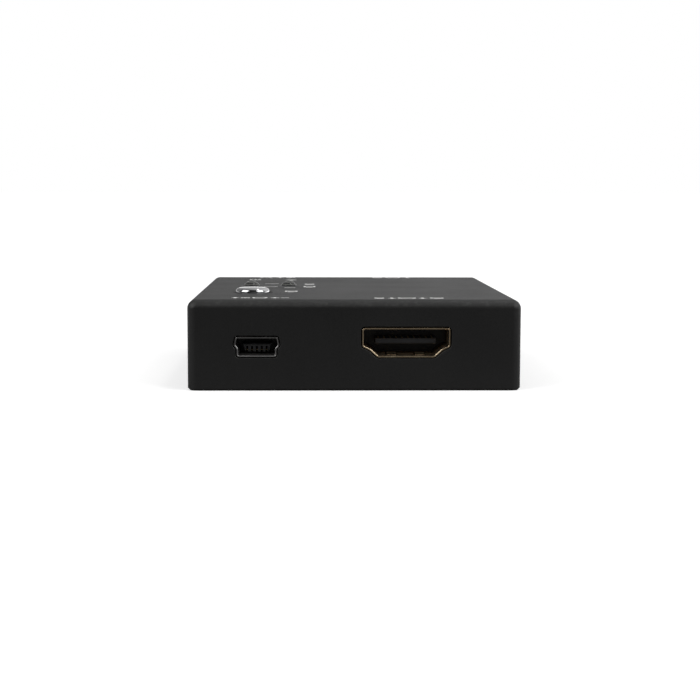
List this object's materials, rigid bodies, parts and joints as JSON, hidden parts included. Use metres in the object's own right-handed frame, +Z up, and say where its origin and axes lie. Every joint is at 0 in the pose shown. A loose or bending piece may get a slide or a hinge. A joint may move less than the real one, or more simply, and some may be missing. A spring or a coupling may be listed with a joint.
{
  "type": "video scaler",
  "caption": "Palm-sized black video scaler box with display and power sockets in front, display and audio sockets behind, and a domed push button and lamps on top.",
  "frame": {"origin": "on the table under the middle of the case", "axes": "+X to the right seen from the front, +Y from the front sockets towards the rear sockets, +Z up"},
  "size_m": [0.055, 0.066, 0.0159],
  "materials": {
    "cover": "black, finely textured, matt",
    "screw": "black zinc plated steel",
    "board": "green solder mask",
    "gilt_shell": "gold plated sheet metal",
    "nickel_shell": "dull nickel plated sheet steel",
    "insulator": "black moulded plastic",
    "contact": "gold plated contact strip",
    "chrome": "bright chrome plating",
    "tinned": "tinned metal",
    "lens": "clear smoke-tinted lens, unlit",
    "chip": "moulded chip package",
    "ferrite": "grey ferrite",
    "can": "drawn aluminium can",
    "ceramic_block": "fired ceramic"
  },
  "bodies": {
    "housing": {"top_cover": "cover", "base_plate": "cover", "case_screws": "screw", "main_board": "board", "output_socket_shell": "gilt_shell", "output_socket_insulator": "insulator", "output_socket_contacts": "contact", "input_socket_shell": "gilt_shell", "input_socket_insulator": "insulator", "input_socket_contacts": "contact", "power_socket_shell": "nickel_shell", "power_socket_insulator": "insulator", "power_socket_contacts": "contact", "audio_jack_body": "insulator", "audio_jack_springs": "contact", "switch_body": "insulator", "switch_plate": "tinned", "snap_dome": "tinned", "switch_terminals": "tinned", "power_lamp_lens": "lens", "power_lamp_leads": "tinned", "power_lamp_spacer": "insulator", "signal_lamp_lens": "lens", "signal_lamp_leads": "tinned", "signal_lamp_spacer": "insulator", "scaler_chip": "chip", "scaler_chip_leads": "tinned", "receiver_chip": "chip", "memory_chip": "chip", "program_chip": "chip", "program_chip_leads": "tinned", "crystal": "tinned", "audio_chip": "chip", "audio_chip_leads": "tinned", "regulator": "chip", "regulator_leads": "tinned", "inductors": "ferrite", "bulk_capacitors": "can", "ceramic_capacitors": "ceramic_block"},
    "button": {"button_cap": "chrome", "switch_plunger": "insulator"}
  },
  "joints": [
    {"name": "button_press", "type": "slide", "parent": "housing", "child": "button", "axis": [0, 0, -1], "range_m": [0, 0.00035], "stiffness_N_per_m": 4500, "deforming": ["snap_dome"]}
  ]
}
